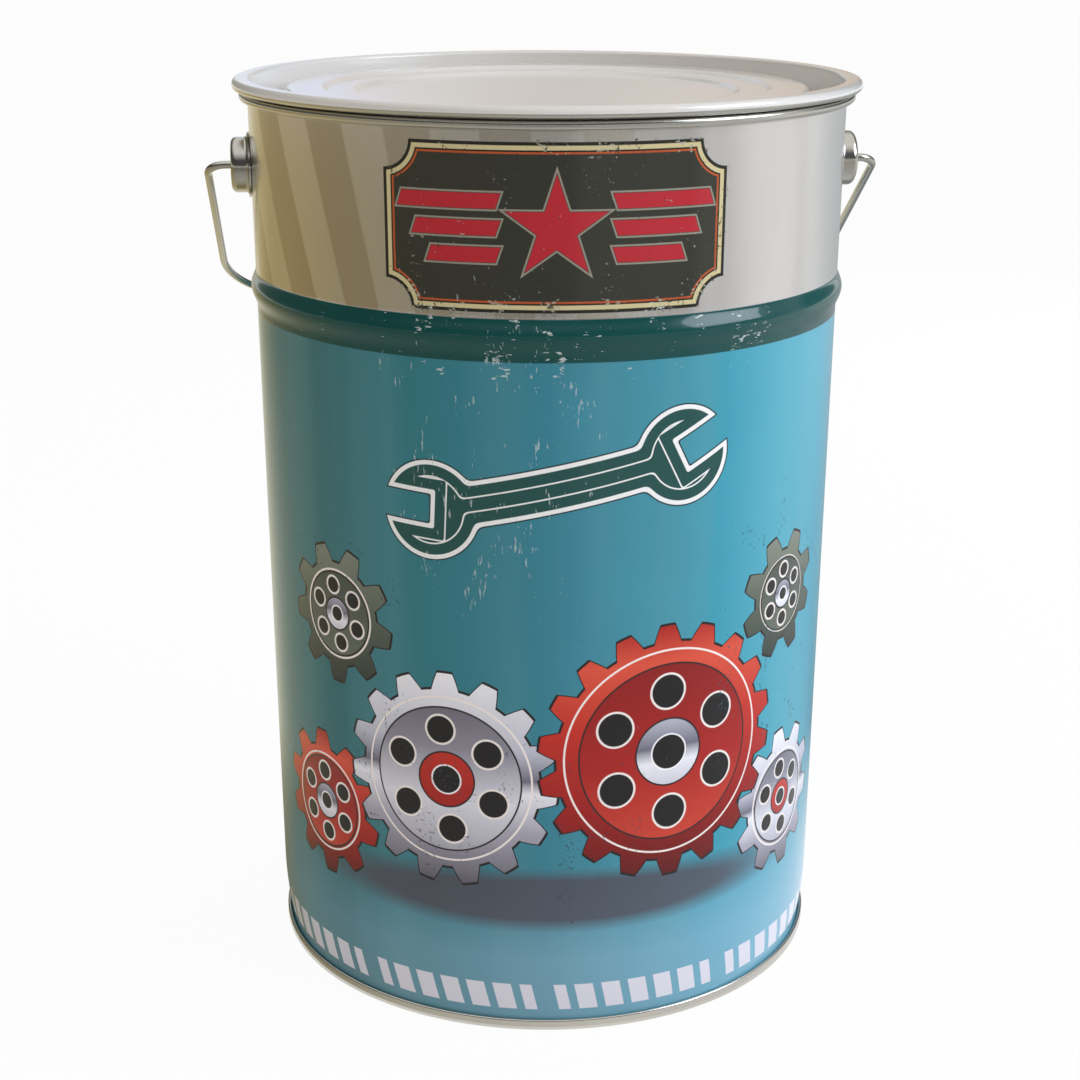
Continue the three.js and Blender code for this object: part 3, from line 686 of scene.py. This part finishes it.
# Faint wrinkles of the base seam: depth, number round the seam, and swells of their strength
WRINKLE, WRINKLES, WRINKLE_SWELLS = 0.035, 96, 7

# The last steps of the lid's roll stay bare tin
ROLL_STEPS, ROLL_BARE_STEPS = 36, 24

# The wire's head is a little domed. The grip's collars: length, length with the slope at their foot,
# length with the groove, and the groove's depth
HEAD_DOME = 0.1
COLLAR, COLLAR_FOOT, COLLAR_GROOVE, GROOVE = 5, 6.2, 8, 0.9


def wall_radius(height):
    """Outer radius of the plain wall at a height: a straight taper from foot to top."""
    return WALL_FOOT + TAPER * height


def swollen(vertices, share_of):
    """The vertices moved outwards from the Z axis by a share of their own distance from it."""
    swell = 1 + share_of(np.hypot(vertices[..., 0], vertices[..., 1]))
    return vertices * np.stack([swell, swell, np.ones_like(swell)], -1)


def make_wall(paper, tin, lacquer):
    """Hook in the base seam, neck drawn in by the square of the share of its height, cone with a
    sine-squared bead, and the curl at the mouth. The lap of the side weld stands up as a narrow ridge
    at the back, where the angle is near half a turn. The print covers the outside, between the seam
    and the curl, and lacquer the inside."""
    bend = (PAIL_HOOK - FOOT + SHEET / 2) / 2
    hook = arc((FOOT - SHEET / 2 + bend, HOOK_BOTTOM + bend), bend, 0, -math.pi, 8)
    share = np.linspace(0, 1, 13)
    height = NECK_BOTTOM + share * (NECK_TOP - NECK_BOTTOM)
    neck = np.stack([wall_radius(height) - SHEET / 2 - NECK * (1 - share) ** 2, height], 1)
    share = np.linspace(0, 1, 33)
    height = BEAD_HEIGHT + (share - 0.5) * BEAD_WIDTH
    proud = BEAD_PROUD * np.sin(math.pi * share) ** 2
    bead = np.stack([wall_radius(height) - SHEET / 2 + proud, height], 1)
    middle = CURL - SHEET / 2
    curl = arc((WALL_TOP - SHEET / 2 + middle, WALL_HEIGHT + CURL), middle, math.pi, CURL_END, 24)
    foot = [(PAIL_HOOK, COMPOUND_TOP - COMPOUND - GAP)]
    low = np.linspace(NECK_TOP + 4, BEAD_HEIGHT - BEAD_WIDTH, 12)
    high = np.append(np.linspace(BEAD_HEIGHT + BEAD_WIDTH, WELD_END, 4), WALL_HEIGHT - 0.4)
    low, high = (np.stack([wall_radius(h) - SHEET / 2, h], 1) for h in (low, high))
    path = np.vstack([foot, hook, neck, low, bead, high, curl])
    outline = sheet(path, SHEET)
    outer = np.arange(len(outline)) >= len(path) - 1
    height = outline[:, 1]
    printed = outer & (height > SEAM_HEIGHT) & (height < WALL_HEIGHT + PRINT_EASE)
    inside = ~outer & (height > SEAM_HEIGHT) & (height < WALL_HEIGHT - PRINT_EASE)

    def weld(vertices, angle):
        away = WALL_TOP * np.abs(np.abs(angle) - math.pi)
        near = 1 - np.clip((away - WELD_HALF) / WELD_EASE, 0, 1)
        plain = (vertices[..., 2] > NECK_BOTTOM) & (vertices[..., 2] < WELD_END)
        return swollen(vertices, lambda level: WELD * near * plain / level)

    behind = (math.pi + SEAM_COLUMNS + math.pi) % TURN - math.pi
    turns = np.sort(np.concatenate([ROUND, behind]))
    return turned(
        "pail_wall", outline, turns, [tin, paper, lacquer], printed + 2 * inside, "pail", "body_shell",
        weld)


def make_base(tin, lacquer):
    """Panel, raised ring, chuck wall, flat foot, seaming wall and cover hook. The seaming wall carries
    the faint ironed wrinkles of its rolling: a fast sine of the angle times a slow one. Lacquer covers
    the inside."""
    ring = CHUCK - BASE_RING
    path = np.vstack([
        rounded([
            (0, BASE_RECESS - BASE_DROP),
            (ring - BASE_STEP, BASE_RECESS - BASE_DROP),
            (ring, BASE_RECESS),
            (CHUCK, BASE_RECESS),
            (CHUCK, SHEET / 2),
            (SEAMING, SHEET / 2),
            (SEAMING, COMPOUND_TOP),
        ], (2.0, 2.0, SEAM_CORNER, SEAM_CORNER, SEAM_CORNER), 6),
        arc((COVER_HOOK + FOLD, COMPOUND_TOP), FOLD, 0, math.pi, 10)[1:],
        [(COVER_HOOK, HOOK_BOTTOM + SHEET + GAP)],
    ])

    def wrinkles(vertices, angle):
        on_seam = (vertices[..., 2] > 1) & (vertices[..., 2] < SEAM_HEIGHT - 0.5)
        depth = WRINKLE * np.sin(WRINKLES * angle) * np.sin(WRINKLE_SWELLS * angle + 1) - WRINKLE
        return swollen(
            vertices, lambda level: (on_seam & (level > SEAMING)) * depth / np.maximum(level, 1))

    outline = sheet(path, SHEET)
    inside = (np.arange(len(outline)) < len(path)) & (outline[:, 0] < CHUCK)
    return turned(
        "base_pressing", outline, ROUND, [tin, lacquer], inside, "pail", "base_end",
        wrinkles)


def make_ring(name, inner, outer, bottom, top, material, body, node):
    """A ring of compound: a rectangle of (radius, height) with eased corners."""
    middle = ((inner + outer) / 2, bottom)
    corners = [middle, (outer, bottom), (outer, top), (inner, top), (inner, bottom), middle]
    ease = min(outer - inner, top - bottom) / 4
    outline = rounded(corners, (ease,) * 4, 4)[:-1]
    return turned(name, outline, ROUND, [material], 0, body, node)


def make_lid(enamel, tin):
    """Sunk centre panel, two steps with a ring panel each, trough, plug wall, shoulder and rolled edge.
    The enamel covers the top side to just below the widest place of the roll; then the tin is bare."""
    outer = LID_TOP - LID_SINK
    inner = outer - LID_OUTER_DEPTH
    panel = inner - LID_INNER_DEPTH
    trough = CURL_TOP - LID_PLUG + LID_SHEET / 2
    path = rounded([
        (0, panel),
        (LID_INNER_STEP - LID_STEP_WIDTH, panel),
        (LID_INNER_STEP, inner),
        (LID_OUTER_STEP - LID_STEP_WIDTH, inner),
        (LID_OUTER_STEP, outer),
        (LID_PLUG_RADIUS - LID_TROUGH - LID_RISER, outer),
        (LID_PLUG_RADIUS - LID_TROUGH, trough),
        (LID_PLUG_RADIUS, trough),
        (LID_PLUG_RADIUS, LID_TOP),
        (LID_ROLL_PLACE[0], LID_TOP),
    ], (LID_STEP_ROUND,) * 4 + (LID_EDGE_ROUND, LID_TROUGH_ROUND, LID_TROUGH_ROUND, LID_SHOULDER), 10)
    roll = arc(LID_ROLL_PLACE, LID_ROLL - LID_SHEET / 2, math.pi / 2, LID_ROLL_END, ROLL_STEPS)
    path = np.vstack([path, roll[1:]])
    outline = sheet(path, LID_SHEET)
    top_side = np.arange(len(outline)) < len(path) - ROLL_BARE_STEPS
    return turned("press_lid", outline, ROUND, [tin, enamel], top_side, "lid", "lid")


def make_ear(name, side, zinc):
    """A cup turned about the ear's axis, laid along X, whose root is drawn back to the round wall:
    the shift from a flat seat to the wall's circle fades with the height above the seat."""
    side_wall = EAR_CUP - EAR_SHEET / 2
    path = rounded([
        (EAR_FLANGE, EAR_SHEET / 2),
        (side_wall, EAR_SHEET / 2),
        (side_wall, EAR_DEPTH - EAR_SHEET / 2),
        (WIRE + GAP, EAR_DEPTH - EAR_SHEET / 2),
    ], (EAR_ROOT, EAR_CORNER), 8)
    seat_radius = wall_radius(PIVOT) + GAP

    def laid(vertices, angle):
        across, up, out = vertices[..., 0], vertices[..., 1], vertices[..., 2]
        seat = np.sqrt((wall_radius(PIVOT + up) + GAP) ** 2 - across ** 2)
        share = np.maximum(0, 1 - out / EAR_DEPTH)
        x = seat_radius + out + (seat - seat_radius) * share
        return np.stack([side * x, side * across, PIVOT + up], -1)

    outline = sheet(path, EAR_SHEET)
    return turned(name, outline, full_turn(96), [zinc], 0, "pail", name, laid)


def bail_reach():
    """Distance from the pivot to the grip's axis that lays the grip against the slanted back wall."""
    standoff = (GRIP + GAP) / math.cos(math.atan(TAPER))
    return (wall_radius(PIVOT) + standoff) / (math.sin(HANG) + TAPER * math.cos(HANG))


def make_wire(zinc):
    """Half the bail is a rounded path of (x, depth) and the other half mirrors it. The upset head at
    each end is a swelling of the wire's radius that closes in a rounded face."""
    reach = bail_reach()
    leg = LID_EDGE + SIDE_ROOM + WIRE
    corner = GRIP_LENGTH / 2 + GRIP_ROOM + CROWN_BEND * math.tan(SLOPE / 2)
    rise, drift = math.tan(SLOPE), math.tan(LEAN)
    depth = (reach - (leg - corner) * rise) / (1 - drift * rise)
    head_end = wall_radius(PIVOT) + GAP + EAR_DEPTH - EAR_SHEET - GAP
    path = rounded(
        [(head_end, 0), (leg, 0), (leg - depth * drift, depth), (corner, reach), (0, reach)],
        (END_BEND, SHOULDER_BEND, CROWN_BEND), 20)
    ease = HEAD_LENGTH / 4
    inner = arc((ease, HEAD - ease), ease, math.pi, math.pi / 2, 5)
    outer = arc((HEAD_LENGTH - ease, HEAD - ease), ease, math.pi / 2, 0.1, 5)
    dome = [(-HEAD_DOME, 0.0), (-HEAD_DOME / 2, HEAD / 2)]
    head = np.vstack([dome, inner, outer, [(HEAD_LENGTH + HEAD_DOME / 2, WIRE)]])
    start = np.stack([head_end - HEAD_LENGTH + head[:, 0], np.zeros(len(head))], 1)
    half = np.vstack([start, path[1:]])
    radii = np.concatenate([head[:, 1], np.full(len(path) - 1, WIRE)])
    flat = np.vstack([half, half[-2::-1] * [-1, 1]])
    radii = np.concatenate([radii, radii[-2::-1]])
    hang = np.array([0, math.sin(HANG), -math.cos(HANG)])
    route = flat[:, :1] * [1, 0, 0] + flat[:, 1:] * hang + [0, 0, PIVOT]
    across = np.array([0, math.cos(HANG), math.sin(HANG)])
    return swept("bail_rod", route, across, radii, 28, zinc, "bail", "bail_wire")


def make_grip(plastic):
    """A barrel turned about X with a collar at each end, on the straight middle of the wire."""
    half = GRIP_LENGTH / 2
    upper = rounded([
        (WIRE + GRIP_PLAY, half - COLLAR_GROOVE),
        (WIRE + GRIP_PLAY, half),
        (GRIP_END, half),
        (GRIP_END, half - COLLAR),
        (GRIP_END - GROOVE, half - COLLAR_FOOT),
        (GRIP_END - GROOVE, half - COLLAR_GROOVE),
        (GRIP, 0),
    ], (0.4, GRIP_ROUND, 0.5, 0.5, 0.8), 6)
    outline = np.vstack([upper, (upper * [1, -1])[-2::-1]])
    reach = bail_reach()
    place = np.array([0, reach * math.sin(HANG), PIVOT - reach * math.cos(HANG)])

    def laid(vertices, angle):
        return vertices[..., [2, 0, 1]] + place

    return turned(
        "grip_barrel", outline, full_turn(64), [plastic], 0, "grip", "bail_grip",
        laid)


make_camera()

paper = printed_tinplate()
tin = rolled_metal("bright_tinplate", "#cfccc4", 0.2, 0.35, 0.02)
zinc = rolled_metal("zinc_plated_steel", "#c6c3ba", 0.17, 0.5, 0.015)
lacquer = inside_lacquer()
enamel = stoving_enamel()
plastic = moulded_polypropylene()
compound = flowed_compound()

make_wall(paper, tin, lacquer)
make_base(tin, lacquer)
make_ring(
    "base_seam_compound", PAIL_HOOK - SHEET / 2, PAIL_HOOK + SHEET / 2,
    COMPOUND_TOP - COMPOUND, COMPOUND_TOP, compound, "pail", "base_compound")
make_lid(enamel, tin)
make_ring(
    "lid_sealing_ring", LID_PLUG_RADIUS + LID_SHEET / 2 + GAP, LID_ROLL_PLACE[0] - LID_ROLL - GAP,
    CURL_TOP + GAP, LID_TOP - LID_SHOULDER, compound, "lid", "lid_gasket")
make_ear("ear_right", 1, zinc)
make_ear("ear_left", -1, zinc)
make_wire(zinc)
make_grip(plastic)


# Studio: a pale floor, soft lamps and a pale surround
FLOOR_HALF, FLOOR_GLOW = 30, 0.95

# Mats: radii and height in metres, and tones at compass angles in degrees from the front, with the
# left negative: at the foot, near by and far out. Then the room's tones
MAT_HOLE, MAT_FOOT, MAT_NEAR, MAT_FAR, MAT_EDGE, MAT_LIFT = 0.147, 0.16, 0.34, 1.7, 6.0, 0.001
FOOT_TONES = (
    (-180, "#9a8e5e"), (-140, "#776c40"), (-112, "#7d7346"), (-85, "#8f865e"), (-55, "#aba58e"),
    (-25, "#d6d4cb"), (20, "#eeeeed"), (60, "#f6f6fb"), (100, "#fbfcff"), (150, "#d5dade"),
    (180, "#9a8e5e"),
)
NEAR_TONES = (
    (-180, "#f6f2e4"), (-150, "#f3eeda"), (-130, "#d8cfac"), (-112, "#c4ba92"), (-85, "#bdb8a6"),
    (-25, "#b9b8b4"), (20, "#bdbdbb"), (60, "#c8cacc"), (100, "#c6cacd"), (125, "#848c90"),
    (150, "#98a1a7"), (180, "#f6f2e4"),
)
FAR_TONES = (
    (-180, "#d9d3bf"), (-165, "#ece6cf"), (-150, "#c4b481"), (-135, "#ab9863"), (-121, "#af9b67"),
    (-105, "#a89561"), (-93, "#9c8c5f"), (-70, "#968967"), (-30, "#868278"), (3, "#7f7f7d"),
    (7, "#b9b9b6"), (40, "#b2b2af"), (47, "#8f8f8b"), (54, "#e0e0dd"), (62, "#b8b7b3"),
    (68, "#dedcd8"), (76, "#f2f0ec"), (84, "#f4f3f0"), (92, "#f5f3f0"), (98, "#f8f6f3"),
    (104, "#d4d4d3"), (110, "#f2f2f1"), (125, "#cdd0d0"), (139, "#bbbebf"), (155, "#b0b3b4"),
    (170, "#c8c6bc"), (180, "#d9d3bf"),
)
ROOM_TONES = (
    (-180, "#e4eaff"), (-176, "#eef6ff"), (-169, "#8f8e80"), (-140, "#55564a"), (-110, "#57564d"),
    (-60, "#4a4944"), (0, "#525254"), (60, "#5a5b5d"), (78, "#70797d"), (92, "#a5a8a9"),
    (104, "#d0d0d0"), (112, "#5a6462"), (150, "#4c5654"), (160, "#7d7a72"), (166, "#cab9a6"),
    (169.5, "#d8cdc5"), (173.5, "#cbc2bb"), (176, "#d4cfc6"), (178.5, "#e2dde2"), (180, "#e4eaff"),
)

# Surround: the heights of a reflected direction between which the room gives way to white, the tone
# and strength of its light, and its strength where it is seen
OVERHEAD_FADE, SURROUND_TONE, SURROUND_LIGHT, SURROUND_SEEN = (0.42, 0.82), "#fffaf3", 0.6, 1.0

# Lamps: name, place, target, size, power in watts, tone, and whether it shows in reflections
LAMPS = (
    ("key_window", (1.7, -0.8, 1.35), (0, 0, 0.25), (1.2, 1.2), 30, "#e9f2ff", True),
    ("rim_window", (1.5, 1.25, 0.62), (0, 0, 0.45), (0.9, 0.3), 18, "#cfe0ff", False),
    ("front_fill", (-0.4, -2.6, 1.6), (0, 0, 0.25), (1.4, 1.0), 5, "#fff4e6", False),
)
WHITE = "#ffffff"


def shows_pale(tree):
    """1 for rays that the camera, a glossy surface or glass sends straight here, else 0."""
    path = add(tree, "LightPath").node.outputs
    either = add(tree, "MAXIMUM", path["Is Camera Ray"], path["Is Glossy Ray"])
    return add(tree, "MAXIMUM", either, path["Is Transmission Ray"])


def laid_sheet(name, finish, points, quads):
    """A flat mesh object with a new material, and the material's tree."""
    mesh = bpy.data.meshes.new(name)
    mesh.from_pydata(points, [], quads)
    material, tree = new_material(finish)
    mesh.materials.append(material)
    return new_object(name, mesh), tree


def make_floor():
    """A wide sheet of white board: nearly plain white, with the object's soft shadow."""
    corners = [(x * FLOOR_HALF, y * FLOOR_HALF, 0) for x, y in ((-1, -1), (1, -1), (1, 1), (-1, 1))]
    floor, tree = laid_sheet("floor", "white_board", corners, [(0, 1, 2, 3)])
    board = add(tree, "BsdfDiffuse", "#f2f2f2")
    glow = add(tree, "Emission", WHITE, 1.0)
    share = add(tree, "MULTIPLY", shows_pale(tree), FLOOR_GLOW)
    add(tree, "OutputMaterial", add(tree, "MixShader", share, board, glow))


def compass_tone(tree, place, tones):
    """The tone of a place or direction: a ramp of its compass angle from the front, in degrees."""
    x, y = add(tree, "SeparateXYZ", place).node.outputs[:2]
    angle = add(tree, "ARCTAN2", x, add(tree, "MULTIPLY", y, -1.0))
    angle = add(tree, "MapRange", angle, -math.pi, math.pi)
    stops = [((degrees + 180) / 360, tone) for degrees, tone in tones]
    return add(tree, "ValToRGB", angle, stops=stops)


def make_mats():
    """Toned mats laid round the object as one flat ring, for the object to reflect and nothing else:
    brassy on the left, grey in front, and pale on the right and close behind."""
    a = np.linspace(0, TURN, 96, endpoint=False)
    around = np.stack([np.cos(a), np.sin(a), np.zeros_like(a)], 1)
    points = np.vstack([around * MAT_HOLE, around * MAT_EDGE]) + [0, 0, MAT_LIFT]
    i = np.arange(len(a))
    quads = np.stack([i, i + len(a), (i + 1) % len(a) + len(a), (i + 1) % len(a)], 1)
    mats, tree = laid_sheet("toned_mats", "toned_mats", points.tolist(), quads.tolist())
    mats.visible_camera = mats.visible_diffuse = mats.visible_transmission = mats.visible_shadow = False
    place = add(tree, "TexCoord").node.outputs["Object"]
    away = add(tree, "VectorMath", place, operation="LENGTH")
    foot, near, far = (
        compass_tone(tree, place, tones) for tones in (FOOT_TONES, NEAR_TONES, FAR_TONES))
    tone = add(tree, "MixRGB", add(tree, "MapRange", away, MAT_FOOT, MAT_NEAR), foot, near)
    tone = add(tree, "MixRGB", add(tree, "MapRange", away, MAT_NEAR, MAT_FAR), tone, far)
    add(tree, "OutputMaterial", add(tree, "Emission", tone, 1.0))


def make_lamp(name, place, target, size, power, tone, mirrored):
    """An area lamp that faces a target. A lamp that isn't mirrored shows in no reflection."""
    data = bpy.data.lights.new(name, "AREA")
    data.shape, data.size, data.size_y = "RECTANGLE", size[0], size[1]
    data.energy, data.color = power, colour(tone)[:3]
    lamp = new_object(name, data)
    aim = Vector(target) - Vector(place)
    lamp.matrix_world = Matrix.Translation(place) @ aim.to_track_quat("-Z", "Y").to_matrix().to_4x4()
    lamp.visible_glossy = mirrored


def make_world():
    """White to the camera and dimmer as a light, so that colours keep their level. A reflection shows
    a room: white overhead, and around the object the tones of ROOM_TONES."""
    world = bpy.data.worlds.new("surround")
    bpy.context.scene.world = world
    world.use_nodes = True
    tree = world.node_tree
    tree.nodes.clear()
    way = add(tree, "TexCoord")
    height = add(tree, "SeparateXYZ", way).node.outputs["Z"]
    overhead = add(tree, "MapRange", height, *OVERHEAD_FADE)
    room = add(tree, "MixRGB", overhead, compass_tone(tree, way, ROOM_TONES), WHITE)
    path = add(tree, "LightPath").node.outputs
    tone = add(tree, "MixRGB", path["Is Glossy Ray"], SURROUND_TONE, room)
    tone = add(tree, "MixRGB", path["Is Camera Ray"], tone, WHITE)
    strength = add(tree, "MapRange", shows_pale(tree), 0.0, 1.0, SURROUND_LIGHT, SURROUND_SEEN)
    add(tree, "OutputWorld", add(tree, "Background", tone, strength))


make_world()
make_floor()
make_mats()
for lamp in LAMPS:
    make_lamp(*lamp)
bpy.context.scene.view_settings.view_transform = "Standard"
